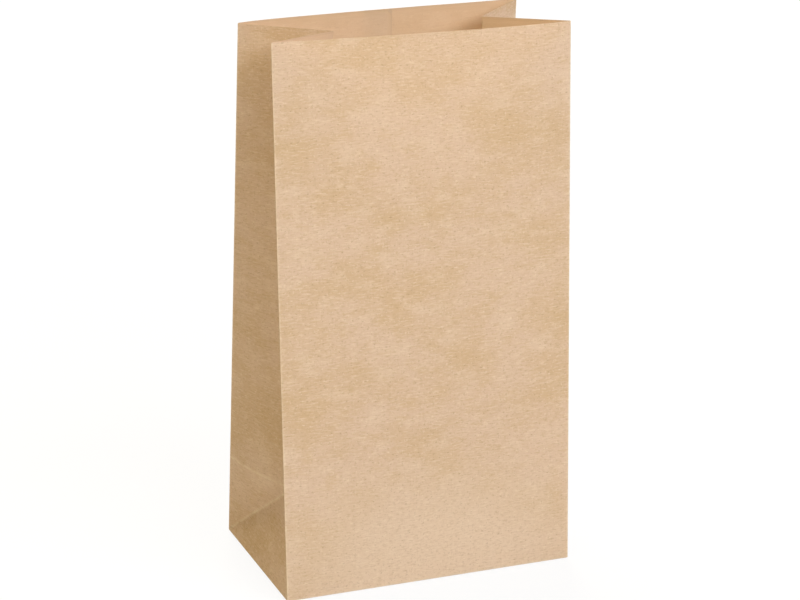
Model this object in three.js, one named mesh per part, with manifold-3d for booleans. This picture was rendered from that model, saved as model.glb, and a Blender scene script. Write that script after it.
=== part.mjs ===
// Brown paper lunch bag: one sheet of kraft paper folded into a gusseted tube with a flat pasted base.
// It stands half open, as a bag does when it is taken off the pile and its base is pressed out.
// Millimetres. +Z is up, the front panel faces -Y, and the origin is at the middle of the base, on the table.

import * as THREE from 'three';
import { mergeVertices } from 'three/addons/utils/BufferGeometryUtils.js';
import Module from 'manifold-3d';

// Driving dimensions of the sheet
const WIDTH = 150; // front and back panels, between their side folds
const DEPTH = 96; // each side gusset, opened flat
const HEIGHT = 275; // every panel, from the base fold to the cut edge at the mouth
const PAPER = 0.12; // kraft paper of about 75 g/m2
const CREASE = 43; // the base folds up against the back panel along a crease this far above its fold
const FLAP_LENGTH = 60; // how far each base flap reaches in from its fold
const SEAM_LAP = 15; // overlap of the glued seam that runs down the back
const SEAM_FROM_MIDDLE = 0; // seam's middle, measured across the back panel from its centre

// How the bag stands: what each panel's top corners have come in from the base fold below them
const FRONT_LEAN = { left: 13.6, right: 10.9 };
const BACK_LEAN = { left: 28.8, right: 22.2 };
const BACK_DRAW = 1; // what the back panel's top corners have come in sideways
const FRONT_BOW = 3.6; // outward bow of the front panel at the mouth
const BACK_BOW = 3.6; // outward bow of the back panel at the mouth
const GUSSET_DIP = { left: 2, right: 1.2 }; // the gusset's inner fold sits below the corners at the mouth
const GUSSET_SLACK = { left: 0, right: 3.5 }; // what its soft bend takes off the gusset's reach at the mouth

// Fineness of the curved panels
const PANEL_COLUMNS = 10;
const LOWER_ROWS = 2; // from the base fold up to the cross crease
const UPPER_ROWS = 6; // from the cross crease to the mouth

// The paper adds up under the base: the floor, then the front flap, then the back flap.
const FLAP_LAYERS = 2;
const FLOOR_Z = FLAP_LAYERS * PAPER;
const BOND = PAPER / 2; // pasted layers run this far into each other, so that they join as one sheet
const HALF_GUSSET = DEPTH / 2;

const wasm = await Module();
wasm.setup();

// A sheet surface of shared points, with its faces turned outwards. A lifted point has more paper outside it.
class Skin {
  points = [];
  faces = [];
  lifts = new Map();
  #index = new Map();

  at(p) {
    const key = [p.x, p.y, p.z].map((c) => c.toFixed(4)).join();
    if (!this.#index.has(key)) {
      this.#index.set(key, this.points.length);
      this.points.push(p.clone());
    }
    return this.#index.get(key);
  }

  lift(p, height) {
    this.lifts.set(this.at(p), height);
  }

  triangle(a, b, c) {
    this.faces.push([this.at(a), this.at(b), this.at(c)]);
  }

  // Rows of points, joined row by row. Columns run to the right as seen from outside, rows run upwards.
  patch(rows) {
    for (let r = 0; r + 1 < rows.length; r++) {
      for (let c = 0; c + 1 < rows[r].length; c++) {
        const [a, b, d, e] = [rows[r][c], rows[r][c + 1], rows[r + 1][c + 1], rows[r + 1][c]];
        this.triangle(a, b, d);
        this.triangle(a, d, e);
      }
    }
  }
}

// Closes a skin into a sheet. Each point is carried along its mitre, so both faces stay parallel at a fold.
function sheet(skin, thickness) {
  const normals = skin.faces.map((f) => {
    const [a, b, c] = f.map((i) => skin.points[i]);
    return new THREE.Vector3().crossVectors(b.clone().sub(a), c.clone().sub(a)).normalize();
  });
  const blank = () => ({ m: new THREE.Matrix3().multiplyScalar(0), v: new THREE.Vector3() });
  const mitres = skin.points.map(blank);
  skin.faces.forEach((f, k) => {
    f.forEach((i, corner) => {
      const p = skin.points[i];
      const [q, r] = [f[(corner + 1) % 3], f[(corner + 2) % 3]].map((j) => skin.points[j].clone().sub(p));
      const weight = q.angleTo(r);
      const n = normals[k].toArray();
      n.forEach((a, row) => {
        n.forEach((b, column) => (mitres[i].m.elements[row + 3 * column] += weight * a * b));
      });
      mitres[i].v.addScaledVector(normals[k], weight);
    });
  });
  const EASE = 1e-6; // keeps the mitre solvable where all the faces round a point are level
  const unit = mitres.map(({ m, v }) => {
    [0, 4, 8].forEach((d) => (m.elements[d] += EASE));
    return v.clone().applyMatrix3(m.clone().invert());
  });
  const outer = skin.points.map((p, i) => p.clone().addScaledVector(unit[i], skin.lifts.get(i) ?? 0));
  const inner = skin.points.map((p, i) => p.clone().addScaledVector(unit[i], -thickness));
  const count = skin.points.length;
  const index = [];
  const edges = new Map();
  for (const [a, b, c] of skin.faces) {
    index.push(a, b, c, count + a, count + c, count + b);
    for (const [s, e] of [[a, b], [b, c], [c, a]]) {
      if (!edges.delete(e + '>' + s)) edges.set(s + '>' + e, [s, e]);
    }
  }
  for (const [s, e] of edges.values()) index.push(s, count + s, count + e, s, count + e, e);
  return new THREE.BufferGeometry().setFromPoints([...outer, ...inner]).setIndex(index);
}

// Straight side fold of a panel, s being the distance along the paper from the base fold.
function sideFold(side, face, s) {
  const lean = (face === 'front' ? FRONT_LEAN : BACK_LEAN)[side];
  const draw = face === 'front' ? 0 : BACK_DRAW;
  const rise = Math.sqrt(HEIGHT ** 2 - lean ** 2 - draw ** 2);
  const up = s / HEIGHT;
  const x = (side === 'left' ? -1 : 1) * (WIDTH / 2 - draw * up);
  const y = (face === 'front' ? -1 : 1) * (DEPTH / 2 - lean * up);
  return new THREE.Vector3(x, y, FLOOR_Z + rise * up);
}

// A point on the front or back panel, u from 0 at the left fold to 1 at the right. The bow grows upwards.
function panelPoint(face, u, s) {
  const p = sideFold('left', face, s).lerp(sideFold('right', face, s), u);
  const bow = face === 'front' ? -FRONT_BOW : BACK_BOW;
  p.y += bow * Math.sin(Math.PI * u) * (s / HEIGHT) ** 2;
  return p;
}

// Where the gusset's creases meet. The base triangle swings in until the back crease keeps its paper length.
function gussetKnot(side) {
  const inward = side === 'left' ? 1 : -1;
  const foot = new THREE.Vector3((-inward * WIDTH) / 2, 0, FLOOR_Z);
  const q = sideFold(side, 'back', CREASE).sub(foot);
  const across = Math.hypot(q.x, q.z);
  const part = (CREASE ** 2 + q.lengthSq() - HALF_GUSSET ** 2) / (2 * CREASE * across);
  const swing = Math.atan2(inward * q.x, q.z) + Math.acos(part);
  return foot.add(new THREE.Vector3(inward * CREASE * Math.sin(swing), 0, CREASE * Math.cos(swing)));
}

// Top of the gusset's inner fold: half a gusset from both corners of the mouth, less what its bend takes up.
function gussetTop(side) {
  const front = sideFold(side, 'front', HEIGHT);
  const back = sideFold(side, 'back', HEIGHT);
  const reach = Math.sqrt(HALF_GUSSET ** 2 - (front.distanceTo(back) / 2) ** 2) - GUSSET_SLACK[side];
  const inward = side === 'left' ? 1 : -1;
  return front.lerp(back, 0.5).add(new THREE.Vector3(inward * reach, 0, -GUSSET_DIP[side]));
}

function steps(from, to, count) {
  return Array.from({ length: count + 1 }, (_, i) => from + ((to - from) * i) / count);
}

const lowerRows = steps(0, CREASE, LOWER_ROWS);
const upperRows = steps(CREASE, HEIGHT, UPPER_ROWS);
const wallRows = [...lowerRows, ...upperRows.slice(1)];
const seam = {
  start: 0.5 + (SEAM_FROM_MIDDLE - SEAM_LAP / 2) / WIDTH,
  end: 0.5 + (SEAM_FROM_MIDDLE + SEAM_LAP / 2) / WIDTH,
  step: PAPER / WIDTH, // the lap's cut edges slope by as much as the paper is thick
};
const seamColumns = [seam.start, seam.start + seam.step, seam.end - seam.step, seam.end];
const columns = [...steps(0, 1, PANEL_COLUMNS), ...seamColumns].sort((a, b) => a - b);

// One gusset: a base triangle, a fan on each side of it, and the two halves of the V above.
function addGusset(skin, side) {
  const knot = gussetKnot(side);
  const top = gussetTop(side);
  const corner = { front: sideFold(side, 'front', 0), back: sideFold(side, 'back', 0) };
  const [first, second] = side === 'left' ? ['back', 'front'] : ['front', 'back'];
  skin.triangle(corner[first], corner[second], knot);
  for (let r = 0; r < LOWER_ROWS; r++) {
    skin.triangle(sideFold(side, first, lowerRows[r]), knot, sideFold(side, first, lowerRows[r + 1]));
    skin.triangle(knot, sideFold(side, second, lowerRows[r]), sideFold(side, second, lowerRows[r + 1]));
  }
  const inner = (s) => knot.clone().lerp(top, (s - CREASE) / (HEIGHT - CREASE));
  skin.patch(upperRows.map((s) => [sideFold(side, first, s), inner(s), sideFold(side, second, s)]));
}

// The folded tube with its floor. Down the back, the sheet's two edges lie on each other in the glued seam.
function makeTube() {
  const skin = new Skin();
  skin.patch(wallRows.map((s) => columns.map((u) => panelPoint('front', u, s))));
  skin.patch(wallRows.map((s) => columns.map((u) => panelPoint('back', u, s)).reverse()));
  addGusset(skin, 'left');
  addGusset(skin, 'right');
  skin.patch(['back', 'front'].map((face) => columns.map((u) => panelPoint(face, u, 0))));
  const lapped = columns.filter((u) => u > seam.start && u < seam.end);
  wallRows.slice(1).forEach((s) => lapped.forEach((u) => skin.lift(panelPoint('back', u, s), PAPER)));
  return sheet(skin, PAPER);
}

// A base flap: its fold is as wide as the panel, and the paper's 45 degree folds narrow it to its cut edge.
function makeFlap(face, layersDown) {
  const [root, end] = [PAPER - DEPTH / 2, FLAP_LENGTH - DEPTH / 2];
  const [wide, narrow] = [WIDTH / 2 - PAPER, WIDTH / 2 - FLAP_LENGTH];
  const outline = new THREE.Shape([
    new THREE.Vector2(-wide, root),
    new THREE.Vector2(wide, root),
    new THREE.Vector2(narrow, end),
    new THREE.Vector2(-narrow, end),
  ]);
  const depth = layersDown * PAPER + BOND;
  const flap = new THREE.ExtrudeGeometry(outline, { depth, bevelEnabled: false });
  if (face === 'back') flap.rotateZ(Math.PI);
  return flap.translate(0, 0, FLOOR_Z - layersDown * PAPER);
}

function solidOf(geometry) {
  const bare = geometry.clone().deleteAttribute('normal').deleteAttribute('uv');
  const merged = mergeVertices(bare);
  const vertProperties = merged.attributes.position.array;
  const triVerts = new Uint32Array(merged.index.array);
  return new wasm.Manifold(new wasm.Mesh({ numProp: 3, vertProperties, triVerts }));
}

function geometryOf(solid) {
  const { vertProperties, triVerts } = solid.getMesh();
  const geometry = new THREE.BufferGeometry();
  geometry.setAttribute('position', new THREE.BufferAttribute(vertProperties, 3));
  geometry.setIndex(new THREE.BufferAttribute(triVerts, 1));
  geometry.computeVertexNormals();
  return geometry;
}

const kraft = new THREE.MeshStandardMaterial({
  name: 'kraft_paper',
  color: 0xd9b78f,
  roughness: 0.9,
  metalness: 0,
});
const folded = solidOf(makeTube()).add(solidOf(makeFlap('front', 1))).add(solidOf(makeFlap('back', 2)));

const bag = new THREE.Mesh(geometryOf(folded), kraft);
bag.name = 'paper_bag';

const lunchBag = new THREE.Group();
lunchBag.add(bag);

export default lunchBag;
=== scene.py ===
"""Brown paper lunch bag: one sheet of kraft paper, folded into a gusseted tube with a pasted base.

The sheet is laid out flat, every point of it is carried to its place by the folds, and a node tree gives
it its ripples and its thickness. Metres. +Z is up, the front panel faces -Y, the base stands on z = 0.
"""

import logging
import math
from dataclasses import dataclass, field
from enum import Enum

import bpy
import numpy as np
from mathutils import Matrix, Vector


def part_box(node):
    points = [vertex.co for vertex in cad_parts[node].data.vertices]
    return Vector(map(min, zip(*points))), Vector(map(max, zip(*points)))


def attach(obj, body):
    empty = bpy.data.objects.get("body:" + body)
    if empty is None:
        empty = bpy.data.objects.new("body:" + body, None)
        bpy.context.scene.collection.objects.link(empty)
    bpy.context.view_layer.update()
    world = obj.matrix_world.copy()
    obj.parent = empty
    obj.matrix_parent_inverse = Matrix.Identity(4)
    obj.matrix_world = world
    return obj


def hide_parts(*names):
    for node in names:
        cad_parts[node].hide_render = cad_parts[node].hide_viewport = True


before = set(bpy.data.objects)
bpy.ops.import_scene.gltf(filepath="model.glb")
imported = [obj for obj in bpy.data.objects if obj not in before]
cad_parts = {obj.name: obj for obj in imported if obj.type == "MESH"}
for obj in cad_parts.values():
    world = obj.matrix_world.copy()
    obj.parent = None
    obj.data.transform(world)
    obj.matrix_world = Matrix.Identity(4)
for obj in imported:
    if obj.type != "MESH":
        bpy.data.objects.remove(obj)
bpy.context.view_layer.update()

LOG = logging.getLogger("lunch_bag")
MM = 0.001
PIECE = "folded_paper"
BODY = "root"
CAD_NODE = "paper_bag"
SLOT = "kraft_paper"
BAKE_MAP = "OFBake"
TINY = 1e-7
INNER_SLICE = 0.2  # the third part of the flat layout on the paper's inner side; it is 0 outside
NOISE_MIDDLE = 0.5
NOISE_GAIN = 4.0  # brings the noise round its middle to about -1 to 1

Colour = tuple[float, float, float]
Grid = np.ndarray
Tree = bpy.types.NodeTree
Node = bpy.types.Node


class Side(Enum):
    """A side of the bag, as seen from the front. The value is the sign of its x."""

    LEFT = -1
    RIGHT = 1


class Face(Enum):
    """A broad panel of the bag. The value is the sign of its y."""

    FRONT = -1
    BACK = 1


class Mark(Enum):
    """Names of the values that the folded sheet carries at each point."""

    SHEET = "sheet"
    LIFT = "lift"
    SLACK = "slack"
    FOLD = "fold"


def ramp(x: Grid) -> Grid:
    """A smooth step from 0 at x = 0 to 1 at x = 1."""
    t = np.clip(x, 0.0, 1.0)
    return t * t * (3.0 - 2.0 * t)


@dataclass(frozen=True)
class Pair:
    """A size that isn't the same on the two sides."""

    left: float
    right: float

    def on(self, side: Side) -> float:
        """The size on one side."""
        return self.left if side is Side.LEFT else self.right


@dataclass(frozen=True)
class Bow:
    """How a panel's cut edge bows outwards at the mouth: its height, and how it rises and falls across."""

    height: float
    rise: float
    fall: float
    fade: float = 1.8

    def at(self, u: Grid, up: Grid) -> Grid:
        """The bow at a share u across the panel from its left fold, and a share up of its height."""
        peak = self.rise / (self.rise + self.fall)
        top = peak**self.rise * (1.0 - peak) ** self.fall
        across = np.clip(u, 0.0, 1.0) ** self.rise * np.clip(1.0 - u, 0.0, 1.0) ** self.fall / top
        return self.height * across * np.clip(up, 0.0, None) ** self.fade


@dataclass(frozen=True)
class BagSizes:
    """Sizes of the cut sheet, and of how the bag stands."""

    width: float
    depth: float
    height: float = 275 * MM
    paper: float = 0.12 * MM
    crease: float = 43 * MM
    flap: float = 60 * MM
    lap: float = 15 * MM
    front_lean: Pair = Pair(13.6 * MM, 10.9 * MM)
    back_lean: Pair = Pair(28.8 * MM, 22.2 * MM)
    back_draw: float = 1 * MM
    front_bow: Bow = Bow(3.6 * MM, rise=1.3, fall=0.75)
    back_bow: Bow = Bow(3.6 * MM, rise=0.5, fall=1.2)
    gusset_dip: Pair = Pair(2 * MM, 1.2 * MM)
    gusset_slack: Pair = Pair(0.0, 3.5 * MM)
    fold_ease: float = 0.25 * MM  # what the rounding of a side fold takes off the width

    @classmethod
    def from_frame(cls) -> "BagSizes":
        """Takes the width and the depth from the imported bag.

        Returns:
            The sizes of the bag.
        """
        low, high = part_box(CAD_NODE)
        return cls(width=high.x - low.x + 2 * cls.fold_ease, depth=high.y - low.y)

    @property
    def half_width(self) -> float:
        """From the middle of a panel to its fold."""
        return self.width / 2

    @property
    def half_gusset(self) -> float:
        """From a gusset's outer fold to its inner one."""
        return self.depth / 2

    @property
    def flat(self) -> tuple[float, float]:
        """The cut sheet: round the tube with its lap, and from the base flaps to the mouth."""
        return 2 * (self.width + self.depth) + self.lap, self.height + self.flap


@dataclass(frozen=True)
class BaseLayers:
    """Heights above the table at which the base's layers of paper lie, outermost first."""

    pitch: float = 0.15 * MM
    lowest: float = 0.07 * MM
    rim: float = 0.4 * MM
    settle: float = 10 * MM
    back_flap: int = 0  # layers below each flap; a turned corner lies one above its flap
    front_flap: int = 2
    end_flap: int = 4

    def height(self, layer: Grid, inward: Grid) -> Grid:
        """How high a layer lies.

        Args:
            layer: Layers of paper below it.
            inward: Distance from the fold at which the layer leaves the wall.

        Returns:
            The layer's height. All the layers leave the wall at the rim.
        """
        level = self.lowest + layer * self.pitch
        return self.rim + (level - self.rim) * np.clip(inward / self.settle, 0.0, 1.0)


@dataclass
class FoldedSheet:
    """The bag's one sheet of paper: its flat layout, and the folds that carry it to its place.

    A flat point is (a, s): a runs round the tube from the middle of the front panel, to the right as seen
    from the front, and s runs up the paper from the base fold.
    """

    sizes: BagSizes
    layers: BaseLayers = field(default_factory=BaseLayers)
    fine_steps: tuple[float, ...] = (0.0, 0.25 * MM, 0.6 * MM, 1.2 * MM)
    step: float = 2.4 * MM
    tall_step: float = 3.4 * MM
    fold_radius: float = 0.5 * MM
    fold_rings: tuple[tuple[float, int], ...] = ((0.5, 6), (1.0, 12))  # share of the radius, and points
    ring_start: float = 0.25
    slack_reach: float = 22 * MM
    seam_ease: float = 6 * MM
    valley: float = 1.5 * MM
    valley_reach: float = 60 * MM
    ridge: float = 2.4 * MM
    least_room: float = 0.01
    fold_mark: float = 0.7 * MM
    lap_steps: int = 3
    map_height: float = 0.49
    map_margin: float = 0.005
    map_middle: float = 0.5

    def spread(self, length: float, both_ends: bool) -> Grid:
        """Steps along a strip of paper, finer beside a fold.

        Args:
            length: The strip's length, measured from a fold.
            both_ends: Whether the far end is a fold too.

        Returns:
            Distances from the fold, from 0 to the length.
        """
        fine = np.array(self.fine_steps)
        first = fine[-1]
        last = length - first if both_ends else length
        count = max(1, round((last - first) / self.step))
        middle = np.linspace(first, last, count + 1)[1:]
        tail = (length - fine[::-1])[1:] if both_ends else np.zeros(0)
        return np.concatenate([fine, middle, tail])

    def rows(self) -> Grid:
        """Heights up the paper of the rows of points, from the flaps' cut edge to the mouth."""
        z = self.sizes
        gusset = self.spread(z.half_gusset, both_ends=True)
        lower = gusset * z.crease / z.half_gusset
        fine = np.array(self.fine_steps)
        first = z.crease + fine[-1]
        count = round((z.height - first) / self.tall_step)
        upper = np.linspace(first, z.height, count + 1)[1:]
        flaps = -self.spread(z.flap, both_ends=False)[:0:-1]
        return np.concatenate([flaps, lower, z.crease + fine[1:], upper])

    def columns(self) -> Grid:
        """Places round the tube of the columns of points, from one glued edge to the other."""
        z = self.sizes
        flap = self.spread(z.flap, both_ends=False)
        rest = z.half_width - z.flap
        inner = z.flap + np.linspace(0.0, rest, round(rest / self.step) + 1)[1:]
        panel = np.concatenate([flap, inner])
        gusset = self.spread(z.half_gusset, both_ends=True)
        lap = np.linspace(0.0, z.lap / 2, self.lap_steps + 1)[1:]
        front = z.half_width - panel[::-1]
        near = z.half_width + gusset[1:]
        far = z.half_width + z.half_gusset + gusset[1:]
        back = z.half_width + z.depth + np.concatenate([panel[1:], z.half_width + lap])
        right = np.concatenate([front, near, far, back])
        return np.concatenate([-right[:0:-1], right])

    def fold_line(self, side: Side, face: Face, s: Grid) -> Grid:
        """Points on a panel's straight side fold.

        Args:
            side: Which side of the bag.
            face: Which panel's fold.
            s: Distances up the paper.

        Returns:
            The points, one for each distance.
        """
        z = self.sizes
        lean = (z.front_lean if face is Face.FRONT else z.back_lean).on(side)
        draw = 0.0 if face is Face.FRONT else z.back_draw
        up = np.asarray(s) / z.height
        rise = math.sqrt(z.height**2 - lean**2 - draw**2)
        x = side.value * (z.half_width - draw * up)
        y = face.value * (z.half_gusset - lean * up)
        return np.stack([x + 0 * up, y + 0 * up, self.layers.rim + rise * up], axis=-1)

    def knot(self, side: Side) -> Grid:
        """Where a gusset's creases meet: the base triangle swings in until the back crease fits."""
        z = self.sizes
        foot = np.array([side.value * z.half_width, 0.0, self.layers.rim])
        q = self.fold_line(side, Face.BACK, z.crease) - foot
        across = math.hypot(q[0], q[2])
        part = (z.crease**2 + q @ q - z.half_gusset**2) / (2 * z.crease * across)
        swing = math.atan2(-side.value * q[0], q[2]) + math.acos(part)
        return foot + z.crease * np.array([-side.value * math.sin(swing), 0.0, math.cos(swing)])

    def gusset_top(self, side: Side) -> Grid:
        """Top of a gusset's inner fold, half a gusset from both corners of the mouth."""
        z = self.sizes
        front = self.fold_line(side, Face.FRONT, z.height)
        back = self.fold_line(side, Face.BACK, z.height)
        reach = math.sqrt(z.half_gusset**2 - (np.linalg.norm(front - back) / 2) ** 2)
        inward = -side.value * (reach - z.gusset_slack.on(side))
        return (front + back) / 2 + np.array([inward, 0.0, -z.gusset_dip.on(side)])

    def panel(self, face: Face, x: Grid, s: Grid) -> Grid:
        """Points on the front or back panel.

        Args:
            face: Which panel.
            x: Places across the paper from its middle, to the right.
            s: Distances up the paper.

        Returns:
            The points. The panel bows outwards, and the back one keeps a valley along its cross crease.
        """
        z = self.sizes
        u = 0.5 + x / z.width
        left = self.fold_line(Side.LEFT, face, s)
        right = self.fold_line(Side.RIGHT, face, s)
        points = left + (right - left) * u[:, None]
        bow = z.front_bow if face is Face.FRONT else z.back_bow
        points[:, 1] += face.value * bow.at(u, s / z.height)
        if face is Face.BACK:
            below = np.clip(s / z.crease, 0.0, 1.0)
            above = np.clip(1.0 - (s - z.crease) / self.valley_reach, 0.0, 1.0)
            middle = np.sin(np.pi * np.clip(u, 0.0, 1.0))
            points[:, 1] -= self.valley * middle * below * above**2
        return points

    def gusset(self, side: Side, d: Grid, s: Grid) -> Grid:
        """Points on a side gusset.

        Args:
            side: Which side of the bag.
            d: Distances round the paper from the front fold.
            s: Distances up the paper.

        Returns:
            The points: a base triangle, a triangle on each side of it, and the two halves of the V above.
        """
        z = self.sizes
        knot = self.knot(side)
        front_half = d <= z.half_gusset
        to_fold = np.where(front_half, d, z.depth - d)
        share = to_fold / z.half_gusset
        folds = np.where(
            front_half[:, None],
            self.fold_line(side, Face.FRONT, s),
            self.fold_line(side, Face.BACK, s),
        )
        along = (s - z.crease) / (z.height - z.crease)
        inner = knot + (self.gusset_top(side) - knot) * along[:, None]
        upper = folds + (inner - folds) * share[:, None]

        front = self.fold_line(side, Face.FRONT, 0.0)
        back = self.fold_line(side, Face.BACK, 0.0)
        low = s / z.crease
        base = front + (back - front) * (d / z.depth)[:, None]
        base = base + (knot - (front + back) / 2) * low[:, None]
        corner = np.where(front_half[:, None], front, back)
        edge = np.where(
            front_half[:, None],
            self.fold_line(side, Face.FRONT, z.crease) - front,
            self.fold_line(side, Face.BACK, z.crease) - back,
        )
        beside = corner + edge * (low - share)[:, None] + (knot - corner) * share[:, None]
        lower = np.where((low <= share)[:, None], base, beside)
        points = np.where((s > z.crease)[:, None], upper, lower)
        points[:, 0] += side.value * np.where(front_half, 0.0, self.swell(share, s))
        return points

    def swell(self, share: Grid, s: Grid) -> Grid:
        """How far a gusset's back half stands out along its cross crease.

        Args:
            share: Places across the half, from 0 at the back fold to 1 at the inner fold.
            s: Distances up the paper.

        Returns:
            The distances outwards, nothing at the folds round the half.
        """
        z = self.sizes
        room = np.maximum(1.0 - share, self.least_room)
        below = np.clip((s / z.crease - share) / room, 0.0, 1.0)
        above = np.clip(1.0 - (s - z.crease) / self.valley_reach, 0.0, 1.0)
        return self.ridge * np.sin(np.pi * share) * below * above**2

    def base(self, a: Grid, t: Grid) -> Grid:
        """Points on the base flaps.

        Args:
            a: Places round the tube.
            t: Distances down the paper from the base fold.

        Returns:
            The points. The end flaps lie inside. The front flap and then the back flap cross them, and the
            corners between turn under along a fold of 45 degrees.
        """
        z = self.sizes
        side = np.where(a < 0, -1.0, 1.0)
        m = np.abs(a)
        front = m <= z.half_width
        back = m > z.half_width + z.depth
        end = ~(front | back)
        e = np.where(front, z.half_width - m, m - z.half_width - z.depth)
        turned = ~end & (t > e)
        deep = np.where(turned, e, t)
        across = np.where(turned, t, e)
        x = side * (z.half_width - np.where(end, t, across))
        y_end = m - z.half_width - z.half_gusset
        y = np.where(end, y_end, np.where(front, -1.0, 1.0) * (z.half_gusset - deep))
        crossing = np.where(front, self.layers.front_flap, self.layers.back_flap) + turned
        layer = np.where(end, self.layers.end_flap, crossing)
        height = self.layers.height(layer, np.where(end, t, deep))
        return np.stack([x, y, height], axis=-1)

    def place(self, a: Grid, s: Grid) -> Grid:
        """Carries flat points to where the folds put them, with every fold still sharp.

        Args:
            a: Places round the tube.
            s: Distances up the paper.

        Returns:
            The points.
        """
        z = self.sizes
        m = np.abs(a)
        points = self.base(a, -s)
        wall = s >= 0
        front = wall & (m <= z.half_width)
        back = wall & (m > z.half_width + z.depth)
        points[front] = self.panel(Face.FRONT, a[front], s[front])
        x_back = np.sign(a[back]) * (z.width + z.depth - m[back])
        points[back] = self.panel(Face.BACK, x_back, s[back])
        for side in Side:
            here = wall & ~front & ~back & (np.sign(a) == side.value)
            points[here] = self.gusset(side, m[here] - z.half_width, s[here])
        return points

    def rounded(self, a: Grid, s: Grid) -> Grid:
        """Carries flat points to their places with the folds rounded.

        Args:
            a: Places round the tube.
            s: Distances up the paper.

        Returns:
            The points, each the mean over a small disc of paper.
        """
        total = self.place(a, s)
        count = 1
        for share, spokes in self.fold_rings:
            for k in range(spokes):
                turn = 2 * math.pi * (k + self.ring_start) / spokes
                reach = share * self.fold_radius
                total = total + self.place(a + reach * math.cos(turn), s + reach * math.sin(turn))
                count += 1
        return total / count

    def fold_distance(self, a: Grid, s: Grid) -> Grid:
        """Measures how far each point of the flat sheet is from a fold.

        Args:
            a: Places round the tube.
            s: Distances up the paper.

        Returns:
            The distances to the nearest fold or crease.
        """
        z = self.sizes
        m = np.abs(a)
        d = m - z.half_width
        low = s / z.crease
        share = 1.0 - np.abs(d - z.half_gusset) / z.half_gusset
        in_gusset = (d >= 0) & (d <= z.depth)
        slant = math.cos(math.atan2(z.crease, z.half_gusset)) * z.crease
        far = np.full_like(a, z.height)
        inner = np.where(in_gusset & (s >= z.crease), np.abs(d - z.half_gusset), far)
        diagonal = np.where(in_gusset & (s >= 0) & (s <= z.crease), np.abs(low - share) * slant, far)
        cross = np.where(d >= z.half_gusset, np.abs(s - z.crease), far)
        near = [np.abs(d), np.abs(d - z.depth), np.abs(s), inner, diagonal, cross]
        return np.minimum.reduce(near)

    def near_seam(self, a: Grid, reach: float) -> Grid:
        """How near each point is to the glued seam: 1 in the lap, 0 from the given reach beside it."""
        z = self.sizes
        away = z.width + z.depth - z.lap / 2 - np.abs(a)
        return 1.0 - ramp(away / reach)

    def lift(self, a: Grid, s: Grid) -> Grid:
        """How far outwards the glued edges lie, so that the right edge laps over the left one."""
        outer = 0.5 * ramp(s / self.sizes.lap)
        near = self.near_seam(a, self.seam_ease)
        return self.layers.pitch * near * np.where(a > 0, outer, outer - 1.0)

    def slack(self, a: Grid, s: Grid) -> Grid:
        """How free each point is to ripple: not at all on a fold, seam or base, fully inside a panel."""
        free = ramp((self.fold_distance(a, s) - self.fold_radius) / self.slack_reach)
        held = self.near_seam(a, self.slack_reach)
        return np.where(s > 0, free * (1.0 - held), 0.0)

    def mesh(self) -> bpy.types.Mesh:
        """Builds the folded sheet as a mesh of one layer.

        Returns:
            The mesh, with the flat layout as its map and the sheet's marks as attributes.
        """
        a, s = (g.ravel() for g in np.meshgrid(self.columns(), self.rows()))
        wide, tall = len(self.columns()), len(self.rows())
        index = np.arange(wide * tall).reshape(tall, wide)
        corners = [index[:-1, :-1], index[:-1, 1:], index[1:, 1:], index[1:, :-1]]
        quads = np.stack([c.ravel() for c in corners], axis=-1)
        faces = []
        for quad in quads:
            faces.extend(self.cut(quad, a, s))
        mesh = bpy.data.meshes.new(PIECE)
        mesh.from_pydata(self.rounded(a, s).tolist(), [], faces)
        self.mark(mesh, a, s)
        return mesh

    def cut(self, quad: Grid, a: Grid, s: Grid) -> list[list[int]]:
        """Cuts a quad in two where a slanting fold runs through it.

        Args:
            quad: The quad's four points: lower left, lower right, upper right, upper left.
            a: Places round the tube of all the points.
            s: Distances up the paper of all the points.

        Returns:
            One quad, or two triangles that share the fold.
        """
        z = self.sizes
        p, q, r, t = (int(k) for k in quad)
        middle = (a[p] + a[q]) / 2
        m = abs(middle) - z.half_width
        top = s[t]
        gusset = 0 <= m <= z.depth and 0 < top <= z.crease + TINY
        flap = top <= TINY and not 0 <= m <= z.depth
        if not (gusset or flap):
            return [[p, q, r, t]]
        d = np.abs(np.abs(a[[p, q, r, t]]) - z.half_width)
        if gusset:
            share = np.minimum(d, z.depth - d) / z.half_gusset
            level = s[[p, q, r, t]] / z.crease
        else:
            share = np.minimum(d, np.abs(d - z.depth)) if m > 0 else d
            level = -s[[p, q, r, t]]
        on = np.abs(share - level) < TINY
        if on[0] and on[2]:
            return [[p, q, r], [p, r, t]]
        if on[1] and on[3]:
            return [[p, q, t], [q, r, t]]
        return [[p, q, r, t]]

    def mark(self, mesh: bpy.types.Mesh, a: Grid, s: Grid) -> None:
        """Writes the flat layout and the sheet's marks onto its mesh.

        Args:
            mesh: The mesh, with one point for each flat point.
            a: Places round the tube.
            s: Distances up the paper.
        """
        flat = np.stack([a, s, 0 * a], axis=-1)
        sheet = mesh.attributes.new(Mark.SHEET.value, "FLOAT_VECTOR", "POINT")
        sheet.data.foreach_set("vector", flat.ravel().astype(np.float32))
        marks = {
            Mark.LIFT: self.lift(a, s),
            Mark.SLACK: self.slack(a, s),
            Mark.FOLD: np.exp(-((self.fold_distance(a, s) / self.fold_mark) ** 2)),
        }
        for name, values in marks.items():
            layer = mesh.attributes.new(name.value, "FLOAT", "POINT")
            layer.data.foreach_set("value", values.astype(np.float32))
        loops = np.zeros(len(mesh.loops), np.int32)
        mesh.loops.foreach_get("vertex_index", loops)
        scale = self.map_height / (self.sizes.height + self.sizes.flap)
        across = self.map_middle + a * scale
        upwards = self.map_margin + (s + self.sizes.flap) * scale
        uv = np.stack([across, upwards], axis=-1)
        layer = mesh.uv_layers.new(name=BAKE_MAP)
        layer.uv.foreach_set("vector", uv[loops].ravel().astype(np.float32))


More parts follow.
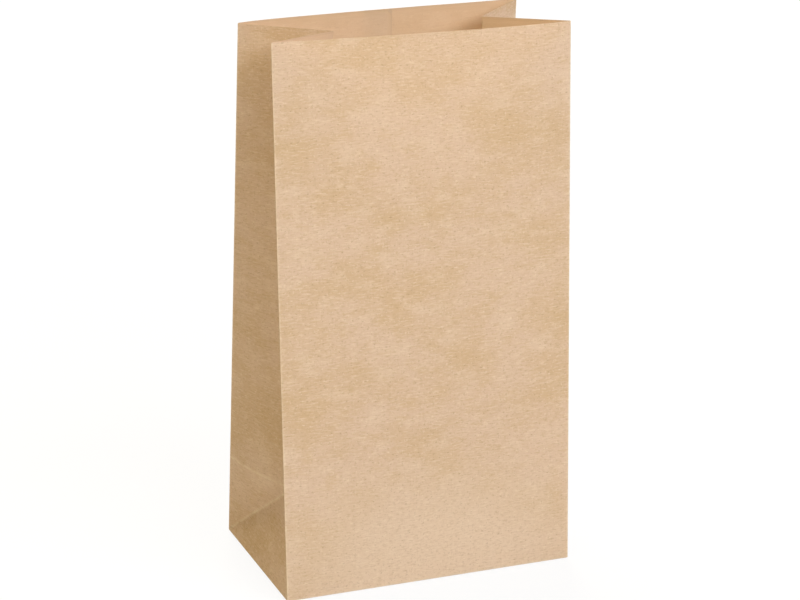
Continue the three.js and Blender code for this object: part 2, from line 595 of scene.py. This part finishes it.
@dataclass
class TreeMaker:
    """Adds nodes to a tree and links them."""

    tree: Tree

    def add(self, kind: str, *inputs: object, **settings: object) -> Node:
        """Adds a node.

        Args:
            kind: The node's type name.
            *inputs: What each input takes in turn: a socket to link, a value to set, or None to leave it.
            **settings: Properties of the node.

        Returns:
            The new node.
        """
        node = self.tree.nodes.new(kind)
        for name, value in settings.items():
            setattr(node, name, value)
        shown = [socket for socket in node.inputs if socket.enabled]
        for socket, value in zip(shown, inputs):
            self.feed(socket, value)
        return node

    def feed(self, socket: bpy.types.NodeSocket, value: object) -> None:
        """Links a socket to a node's first output or to a socket, or sets its value."""
        if isinstance(value, bpy.types.Node):
            value = next(s for s in value.outputs if s.enabled)
        if isinstance(value, bpy.types.NodeSocket):
            self.tree.links.new(value, socket)
        elif value is not None:
            socket.default_value = value


@dataclass(frozen=True)
class PaperBody:
    """The node tree that turns the folded sheet into paper: its ripples, then its thickness."""

    ripple_height: float = 0.3 * MM
    ripple_length: float = 42 * MM
    ripple_seed: float = 7.0
    ripple_detail: float = 1.0
    inner_shift: float = 0.5
    weld: float = 0.001 * MM

    def tree(self) -> Tree:
        """Builds the node tree, with its sizes as named inputs.

        Returns:
            The tree, which ends in Realize Instances and Set Material.
        """
        tree = bpy.data.node_groups.new("paper_body", "GeometryNodeTree")
        sockets = {
            "Geometry": "NodeSocketGeometry",
            "Paper": "NodeSocketFloat",
            "Ripple Height": "NodeSocketFloat",
            "Ripple Length": "NodeSocketFloat",
            "Ripple Seed": "NodeSocketFloat",
            "Finish": "NodeSocketMaterial",
        }
        for name, kind in sockets.items():
            tree.interface.new_socket(name, in_out="INPUT", socket_type=kind)
        tree.interface.new_socket("Geometry", in_out="OUTPUT", socket_type="NodeSocketGeometry")
        make = TreeMaker(tree)
        given = make.add("NodeGroupInput").outputs
        shaped = self.rippled(make, given)
        closed = self.thickened(make, shaped, given["Paper"])
        whole = make.add("GeometryNodeRealizeInstances", closed)
        dressed = make.add("GeometryNodeSetMaterial", whole, None, given["Finish"])
        make.add("NodeGroupOutput", dressed)
        return tree

    def rippled(self, make: TreeMaker, given: bpy.types.bpy_prop_collection) -> Node:
        """Moves the sheet along its normal by its lift and its ripples.

        Args:
            make: Adds the nodes.
            given: The tree's inputs.

        Returns:
            The node that holds the moved sheet.
        """
        named = {"data_type": "FLOAT_VECTOR"}
        sheet = make.add("GeometryNodeInputNamedAttribute", Mark.SHEET.value, **named)
        lift = make.add("GeometryNodeInputNamedAttribute", Mark.LIFT.value, data_type="FLOAT")
        slack = make.add("GeometryNodeInputNamedAttribute", Mark.SLACK.value, data_type="FLOAT")
        turns = make.add("ShaderNodeMath", 1.0, given["Ripple Length"], operation="DIVIDE")
        noise = make.add("ShaderNodeTexNoise", noise_dimensions="4D")
        make.feed(noise.inputs["Vector"], sheet)
        make.feed(noise.inputs["W"], given["Ripple Seed"])
        make.feed(noise.inputs["Scale"], turns)
        noise.inputs["Detail"].default_value = self.ripple_detail
        wave = make.add("ShaderNodeMath", noise.outputs[0], NOISE_MIDDLE, operation="SUBTRACT")
        high = make.add("ShaderNodeMath", wave, given["Ripple Height"], operation="MULTIPLY")
        full = make.add("ShaderNodeMath", high, NOISE_GAIN, operation="MULTIPLY")
        moved = make.add("ShaderNodeMath", full, slack, lift, operation="MULTIPLY_ADD")
        normal = make.add("GeometryNodeInputNormal")
        offset = make.add("ShaderNodeVectorMath", normal, operation="SCALE")
        make.feed(offset.inputs["Scale"], moved)
        return make.add("GeometryNodeSetPosition", given["Geometry"], None, None, offset)

    def thickened(self, make: TreeMaker, sheet: Node, paper: bpy.types.NodeSocket) -> Node:
        """Gives the sheet its two faces and its cut edges.

        Args:
            make: Adds the nodes.
            sheet: The node that holds the sheet's middle surface.
            paper: The paper's thickness.

        Returns:
            The node that holds the closed paper.
        """
        normal = make.add("GeometryNodeInputNormal")
        half = make.add("ShaderNodeMath", paper, -0.5, operation="MULTIPLY")
        inwards = make.add("ShaderNodeVectorMath", normal, operation="SCALE")
        make.feed(inwards.inputs["Scale"], half)
        inside = make.add("GeometryNodeSetPosition", sheet, None, None, inwards)
        outside = make.add("GeometryNodeExtrudeMesh", inside, None, None, paper, False, mode="FACES")
        turned = make.add("GeometryNodeFlipFaces", inside)
        shift = {
            BAKE_MAP: ("FLOAT2", "CORNER", (0.0, self.inner_shift, 0.0)),
            Mark.SHEET.value: ("FLOAT_VECTOR", "POINT", (0.0, 0.0, INNER_SLICE)),
        }
        for name, (kind, domain, amount) in shift.items():
            was = make.add("GeometryNodeInputNamedAttribute", name, data_type="FLOAT_VECTOR")
            now = make.add("ShaderNodeVectorMath", was, amount, operation="ADD")
            settings = {"data_type": kind, "domain": domain}
            turned = make.add("GeometryNodeStoreNamedAttribute", turned, None, name, now, **settings)
        both = make.add("GeometryNodeJoinGeometry")
        make.feed(both.inputs[0], turned)
        make.feed(both.inputs[0], outside)
        joined = make.add("GeometryNodeMergeByDistance", both)
        joined.inputs["Distance"].default_value = self.weld
        return joined

    def apply(self, piece: bpy.types.Object, paper: float, finish: bpy.types.Material) -> None:
        """Runs the tree on the sheet and leaves a plain mesh.

        Args:
            piece: The object that holds the sheet.
            paper: The paper's thickness.
            finish: The paper's material.
        """
        modifier = piece.modifiers.new("paper_body", "NODES")
        modifier.node_group = self.tree()
        values = {
            "Paper": paper,
            "Ripple Height": self.ripple_height,
            "Ripple Length": self.ripple_length,
            "Ripple Seed": self.ripple_seed,
            "Finish": finish,
        }
        for item in modifier.node_group.interface.items_tree:
            if item.name in values:
                modifier[item.identifier] = values[item.name]
        seen = piece.evaluated_get(bpy.context.evaluated_depsgraph_get())
        mesh = bpy.data.meshes.new_from_object(seen)
        piece.modifiers.remove(modifier)
        flat = piece.data
        piece.data = mesh
        bpy.data.meshes.remove(flat)
        mesh.name = PIECE


@dataclass(frozen=True)
class Grain:
    """A noise pattern on the flat sheet, and how a tone shows through it.

    Nothing of the tone shows where the noise is under low, and the share most where it is over high.
    """

    width: float
    height: float
    detail: float
    rough: float
    low: float = 0.0
    high: float = 1.0
    most: float = 1.0


@dataclass(frozen=True)
class Spot:
    """A soft oval spot of painted light on the front panel: its middle up the paper, its reach up and down,
    its strength.
    """

    middle: float
    reach: float
    most: float


@dataclass(frozen=True)
class KraftFinish:
    """Unbleached kraft paper: cloudy brown pulp, long fibres, specks of bark, and folds rubbed pale, with
    painted light on its inner side and at the front panel's foot and mouth.
    """

    pulp: Colour = (0.683, 0.51, 0.37)
    blotch: Colour = (0.60, 0.425, 0.245)
    cloud: Colour = (0.74, 0.58, 0.43)
    streak_pale: Colour = (0.84, 0.71, 0.54)
    streak_dark: Colour = (0.50, 0.345, 0.195)
    speck: Colour = (0.33, 0.20, 0.10)
    # painted light: the paler tone of the paper's inner side stands for the light inside the bag
    painted_inner_light: Colour = (0.90, 0.69, 0.47)
    rubbed: Colour = (0.81, 0.69, 0.51)
    broad_blotch: Grain = Grain(58 * MM, 40 * MM, 4.0, 0.6, 0.40, 0.66, 0.75)
    small_blotch: Grain = Grain(12 * MM, 7 * MM, 3.0, 0.65, 0.46, 0.70, 0.45)
    pale_cloud: Grain = Grain(17 * MM, 9 * MM, 3.0, 0.6, 0.48, 0.72, 0.6)
    pale_fibre: Grain = Grain(4.5 * MM, 0.75 * MM, 2.0, 0.6, 0.50, 0.68, 0.32)
    dark_fibre: Grain = Grain(3.2 * MM, 0.8 * MM, 2.0, 0.6, 0.51, 0.68, 0.32)
    cross_fibre: Grain = Grain(0.8 * MM, 2.6 * MM, 2.0, 0.6, 0.54, 0.72, 0.24)
    bark: Grain = Grain(1.5 * MM, 1.0 * MM, 1.0, 0.5, 0.60, 0.76, 0.34)
    shive: Grain = Grain(1.1 * MM, 1.3 * MM, 1.0, 0.5, 0.60, 0.76, 0.38)
    rubbing: Grain = Grain(3 * MM, 3 * MM, 3.0, 0.6, 0.25, 0.65, 0.65)
    tooth: Grain = Grain(0.9 * MM, 0.6 * MM, 3.0, 0.6)
    tooth_strength: float = 0.22
    tooth_depth: float = 0.12 * MM
    # painted light: paler spots at the front panel's foot and mouth, for the brighter light there
    painted_light_spots: tuple[Spot, ...] = (Spot(5 * MM, 75 * MM, 0.95), Spot(265 * MM, 70 * MM, 0.2))
    spot_width: float = 115 * MM
    spot_core: float = 0.2
    painted_inner_light_share: float = 0.6
    roughness: float = 0.88
    specular: float = 0.0
    shine_through: float = 0.2

    def material(self) -> bpy.types.Material:
        """Builds the paper's material on the sheet's flat layout.

        Returns:
            The material.
        """
        paper = bpy.data.materials.new(SLOT)
        paper.use_nodes = True
        tree = paper.node_tree
        tree.nodes.clear()
        make = TreeMaker(tree)
        flat = make.add("ShaderNodeAttribute", attribute_name=Mark.SHEET.value).outputs["Vector"]
        tone = self.lay(make, flat, self.broad_blotch, self.pulp, self.blotch)
        tone = self.lay(make, flat, self.small_blotch, tone, self.blotch)
        tone = self.lay(make, flat, self.pale_cloud, tone, self.cloud)
        # painted light at the front panel's foot and mouth
        tone = self.paint_lit_ends(make, flat, tone)
        tone = self.lay(make, flat, self.pale_fibre, tone, self.streak_pale)
        tone = self.lay(make, flat, self.dark_fibre, tone, self.streak_dark)
        tone = self.lay(make, flat, self.cross_fibre, tone, self.streak_dark)
        tone = self.lay(make, flat, self.bark, tone, self.speck)
        tone = self.lay(make, flat, self.shive, tone, self.streak_pale)
        tone = self.worn(make, flat, tone)
        # painted light on the paper's inner side
        tone = self.paint_inner_light(make, flat, tone)
        shader = make.add("ShaderNodeBsdfPrincipled")
        make.feed(shader.inputs["Base Color"], tone)
        shader.inputs["Roughness"].default_value = self.roughness
        shader.inputs["Specular IOR Level"].default_value = self.specular
        make.feed(shader.inputs["Normal"], self.bump(make, flat))
        glow = make.add("ShaderNodeBsdfTranslucent", tone)
        thin = make.add("ShaderNodeMixShader", self.shine_through, shader, glow)
        make.add("ShaderNodeOutputMaterial", thin)
        return paper

    @staticmethod
    def noise(make: TreeMaker, flat: object, grain: Grain) -> bpy.types.NodeSocket:
        """Makes a grain's noise on the flat sheet.

        Args:
            make: Adds the nodes.
            flat: The socket of the flat layout.
            grain: The pattern.

        Returns:
            The socket of the noise.
        """
        scale = (1 / grain.width, 1 / grain.height, 1 / grain.width)
        placed = make.add("ShaderNodeMapping", flat, None, None, scale)
        node = make.add("ShaderNodeTexNoise", noise_dimensions="3D")
        make.feed(node.inputs["Vector"], placed)
        node.inputs["Scale"].default_value = 1.0
        node.inputs["Detail"].default_value = grain.detail
        node.inputs["Roughness"].default_value = grain.rough
        return node.outputs[0]

    @staticmethod
    def between(make: TreeMaker, value: object, low: float, high: float) -> Node:
        """Maps a value smoothly so that low gives 0 and high gives 1."""
        return make.add("ShaderNodeMapRange", value, low, high, interpolation_type="SMOOTHSTEP")

    @staticmethod
    def times(make: TreeMaker, first: object, second: object) -> Node:
        """Multiplies two values."""
        return make.add("ShaderNodeMath", first, second, operation="MULTIPLY")

    @staticmethod
    def mix(make: TreeMaker, share: object, first: object, second: object) -> bpy.types.NodeSocket:
        """Mixes two colours.

        Args:
            make: Adds the nodes.
            share: How much of the second colour shows.
            first: A colour, or the socket of one.
            second: The other colour, or the socket of one.

        Returns:
            The socket of the mixed colour.
        """
        node = make.add("ShaderNodeMix", data_type="RGBA")
        make.feed(node.inputs["Factor"], share)
        inputs = [s for s in node.inputs if s.type == "RGBA"]
        for socket, value in zip(inputs, (first, second)):
            make.feed(socket, (*value, 1.0) if isinstance(value, tuple) else value)
        return next(s for s in node.outputs if s.type == "RGBA")

    def share(self, make: TreeMaker, flat: object, grain: Grain) -> Node:
        """How much of a tone shows through a grain."""
        part = self.between(make, self.noise(make, flat, grain), grain.low, grain.high)
        return self.times(make, part, grain.most)

    def lay(
        self, make: TreeMaker, flat: object, grain: Grain, tone: object, second: Colour
    ) -> bpy.types.NodeSocket:
        """Lays a second tone over the first where a grain lets it show."""
        return self.mix(make, self.share(make, flat, grain), tone, second)

    def worn(self, make: TreeMaker, flat: object, tone: object) -> bpy.types.NodeSocket:
        """Rubs the folds pale, unevenly along their length."""
        fold = make.add("ShaderNodeAttribute", attribute_name=Mark.FOLD.value).outputs["Fac"]
        part = self.times(make, fold, self.share(make, flat, self.rubbing))
        return self.mix(make, part, tone, self.rubbed)

    def paint_lit_ends(self, make: TreeMaker, flat: object, tone: object) -> object:
        """Paints the front panel's foot and mouth a little paler: painted light, standing in for the
        brighter light there.

        Args:
            make: Adds the nodes.
            flat: The socket of the flat layout.
            tone: The socket of the colour so far.

        Returns:
            The socket of the new colour.
        """
        for spot in self.painted_light_spots:
            middle = (0.0, spot.middle, 0.0)
            size = (1 / self.spot_width, 1 / spot.reach, 0.0)
            offset = make.add("ShaderNodeVectorMath", flat, middle, operation="SUBTRACT")
            scaled = make.add("ShaderNodeVectorMath", offset, size, operation="MULTIPLY")
            away = make.add("ShaderNodeVectorMath", scaled, operation="LENGTH").outputs["Value"]
            near = self.between(make, away, 1.0, self.spot_core)
            tone = self.mix(make, self.times(make, near, spot.most), tone, self.cloud)
        return tone

    def paint_inner_light(self, make: TreeMaker, flat: object, tone: object) -> bpy.types.NodeSocket:
        """Paints the paper's inner side paler: painted light, standing in for the light that reaches the
        inside of the bag.
        """
        depth = make.add("ShaderNodeSeparateXYZ", flat).outputs["Z"]
        inner = self.between(make, depth, 0.25 * INNER_SLICE, 0.75 * INNER_SLICE)
        return self.mix(make, self.times(make, inner, self.painted_inner_light_share), tone, self.painted_inner_light)

    def bump(self, make: TreeMaker, flat: object) -> Node:
        """Gives the paper its fine tooth."""
        node = make.add("ShaderNodeBump")
        node.inputs["Strength"].default_value = self.tooth_strength
        node.inputs["Distance"].default_value = self.tooth_depth
        make.feed(node.inputs["Height"], self.noise(make, flat, self.tooth))
        return node


@dataclass
class LunchBag:
    """The bag: its folded sheet, the paper's body and its finish."""

    sizes: BagSizes
    body: PaperBody = field(default_factory=PaperBody)
    finish: KraftFinish = field(default_factory=KraftFinish)
    crisp: float = math.radians(24)

    def build(self) -> bpy.types.Object:
        """Folds the sheet and gives it its thickness.

        Returns:
            The finished piece, at the origin.
        """
        sheet = FoldedSheet(self.sizes)
        piece = bpy.data.objects.new(PIECE, sheet.mesh())
        bpy.context.scene.collection.objects.link(piece)
        self.body.apply(piece, self.sizes.paper, self.finish.material())
        piece.data.shade_smooth()
        piece.data.set_sharp_from_angle(angle=self.crisp)
        return piece

    def dress(self, piece: bpy.types.Object) -> None:
        """Hangs the piece on its body and hides the imported bag that it replaces."""
        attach(piece, BODY)
        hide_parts(CAD_NODE)


@dataclass(frozen=True)
class Aim:
    """A direction from the bag, in degrees: round it from the front to the right, and up."""

    azimuth: float
    elevation: float
    roll: float = 0.0

    def axes(self) -> Matrix:
        """The turn that points an object's -Z at the bag from this direction."""
        az, el = math.radians(self.azimuth), math.radians(self.elevation)
        back = Vector((math.sin(az) * math.cos(el), -math.cos(az) * math.cos(el), math.sin(el)))
        right = Vector((math.cos(az), math.sin(az), 0.0))
        up = back.cross(right)
        level = Matrix((right, up, back)).transposed()
        return level @ Matrix.Rotation(math.radians(self.roll), 3, "Z")


@dataclass(frozen=True)
class Lamp:
    """A soft square lamp that faces the bag."""

    name: str
    aim: Aim
    distance: float
    size: float
    watts: float
    tint: Colour


@dataclass
class Studio:
    """The pale floor, the soft light and the camera."""

    view: Aim = Aim(-21.096, 17.828, 0.107)
    view_target: Vector = field(default_factory=lambda: Vector((1.97, 0.0, 131.85)) * MM)
    view_distance: float = 1249.145 * MM
    lens: float = 112.51
    sensor: float = 36.0
    lamps: tuple[Lamp, ...] = (
        Lamp("key_light", Aim(3.0, 24.0), 4.5, 0.87, 40.0, (0.98, 1.0, 1.04)),
        Lamp("front_fill", Aim(30.0, 37.0), 5.0, 3.2, 146.0, (0.96, 1.0, 1.11)),
        Lamp("left_fill", Aim(-55.0, 38.0), 5.0, 2.7, 69.0, (1.0, 0.81, 0.4)),
        Lamp("top_light", Aim(0.0, 86.0), 4.0, 2.5, 24.0, (1.0, 0.98, 0.95)),
        Lamp("back_wash", Aim(178.0, 35.0), 5.0, 3.3, 265.0, (1.0, 0.96, 0.82)),
    )
    ambient: float = 0.16
    ambient_tint: Colour = (1.0, 0.9, 0.76)
    floor_size: float = 8.0
    floor_tone: float = 0.9
    floor_shadow: float = 0.12

    def build(self) -> None:
        """Sets up the floor, the lamps, the surrounding light and the camera."""
        self.build_floor()
        self.build_world()
        for lamp in self.lamps:
            self.build_lamp(lamp)
        self.build_camera()
        bpy.context.scene.view_settings.view_transform = "Standard"

    @staticmethod
    def seen_direct(make: TreeMaker) -> Node:
        """Is 1 for what the camera sees, by itself or in gloss or glass."""
        path = make.add("ShaderNodeLightPath").outputs
        first = make.add("ShaderNodeMath", path["Is Camera Ray"], path["Is Glossy Ray"], operation="MAXIMUM")
        return make.add("ShaderNodeMath", first, path["Is Transmission Ray"], operation="MAXIMUM")

    def build_floor(self) -> None:
        """Lays a white floor that keeps the bag's shadow."""
        half = self.floor_size / 2
        mesh = bpy.data.meshes.new("floor")
        points = [(-half, -half, 0.0), (half, -half, 0.0), (half, half, 0.0), (-half, half, 0.0)]
        mesh.from_pydata(points, [], [[0, 1, 2, 3]])
        floor = bpy.data.objects.new("floor", mesh)
        bpy.context.scene.collection.objects.link(floor)
        tone = bpy.data.materials.new("white_floor")
        tone.use_nodes = True
        tone.node_tree.nodes.clear()
        make = TreeMaker(tone.node_tree)
        matte = make.add("ShaderNodeBsdfDiffuse", (self.floor_tone,) * 3 + (1.0,))
        white = make.add("ShaderNodeEmission", (1.0, 1.0, 1.0, 1.0), 1.0)
        glare = 1 - self.floor_shadow
        shown = make.add("ShaderNodeMath", self.seen_direct(make), glare, operation="MULTIPLY")
        mixed = make.add("ShaderNodeMixShader", shown, matte, white)
        make.add("ShaderNodeOutputMaterial", mixed)
        mesh.materials.append(tone)

    def build_world(self) -> None:
        """Surrounds the bag with even light, white where the camera looks past the floor."""
        world = bpy.data.worlds.new("studio")
        bpy.context.scene.world = world
        world.use_nodes = True
        world.node_tree.nodes.clear()
        make = TreeMaker(world.node_tree)
        around = make.add("ShaderNodeBackground", (*self.ambient_tint, 1.0), self.ambient)
        white = make.add("ShaderNodeBackground", (1.0, 1.0, 1.0, 1.0), 1.0)
        light = make.add("ShaderNodeMixShader", self.seen_direct(make), around, white)
        make.add("ShaderNodeOutputWorld", light)

    def build_lamp(self, lamp: Lamp) -> None:
        """Hangs a lamp in its direction."""
        light = bpy.data.lights.new(lamp.name, "AREA")
        light.size = lamp.size
        light.energy = lamp.watts
        light.color = lamp.tint
        self.hang(bpy.data.objects.new(lamp.name, light), lamp.aim, lamp.distance)

    def hang(self, thing: bpy.types.Object, aim: Aim, distance: float) -> None:
        """Puts a lamp or the camera in its place.

        Args:
            thing: The object.
            aim: Its direction from the bag.
            distance: Its distance from the point that the camera looks at.
        """
        turn = aim.axes()
        place = self.view_target + turn.col[2] * distance
        thing.matrix_world = Matrix.Translation(place) @ turn.to_4x4()
        bpy.context.scene.collection.objects.link(thing)

    def build_camera(self) -> None:
        """Sets the camera where the photograph was taken from."""
        camera = bpy.data.cameras.new("camera")
        camera.sensor_width = self.sensor
        camera.lens = self.lens
        holder = bpy.data.objects.new("camera", camera)
        self.hang(holder, self.view, self.view_distance)
        bpy.context.scene.camera = holder


def main() -> None:
    """Builds the studio and the bag."""
    logging.basicConfig(level=logging.INFO, format="%(message)s")
    Studio().build()
    LOG.info("studio: floor, lamps and camera")
    bag = LunchBag(BagSizes.from_frame())
    piece = bag.build()
    bag.dress(piece)
    LOG.info("%s: %d points, %d faces", piece.name, len(piece.data.vertices), len(piece.data.polygons))


if __name__ == "__main__":
    main()
